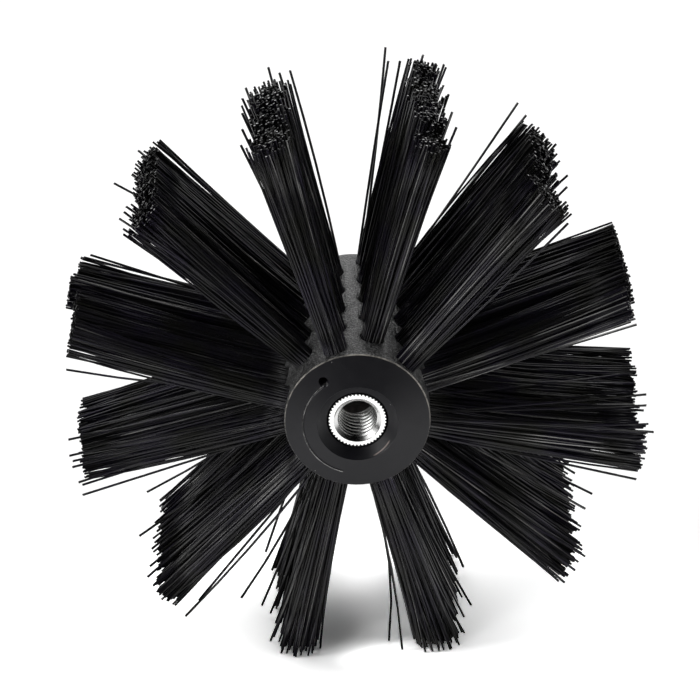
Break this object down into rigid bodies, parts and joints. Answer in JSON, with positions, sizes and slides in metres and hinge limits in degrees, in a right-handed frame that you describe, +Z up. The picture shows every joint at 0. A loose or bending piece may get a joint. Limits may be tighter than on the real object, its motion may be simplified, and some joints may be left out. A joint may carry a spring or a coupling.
{
  "type": "duct brush head",
  "caption": "Round brush head with rows of stiff dark bristle tufts on a solid hub, and a knurled metal insert with a female thread in one end.",
  "frame": {"origin": "Centre of the bounding box at its base: the surface that the brush stands on, under the middle of the hub's length.", "axes": "The hub's axis is level and runs along Y. The threaded end faces -Y, +Z is up and +X is to the right as seen from the threaded end."},
  "size_m": [0.098, 0.0448, 0.0961],
  "materials": {
    "hub_plastic": "satin",
    "insert_metal": "bright nickel or zinc plating",
    "bristle_nylon": "extruded filament"
  },
  "bodies": {
    "root": {"hub": "hub_plastic", "threaded_insert": "insert_metal", "bristle_row_015": "bristle_nylon", "bristle_row_045": "bristle_nylon", "bristle_row_075": "bristle_nylon", "bristle_row_105": "bristle_nylon", "bristle_row_135": "bristle_nylon", "bristle_row_165": "bristle_nylon", "bristle_row_195": "bristle_nylon", "bristle_row_225": "bristle_nylon", "bristle_row_255": "bristle_nylon", "bristle_row_285": "bristle_nylon", "bristle_row_315": "bristle_nylon", "bristle_row_345": "bristle_nylon"}
  },
  "joints": []
}
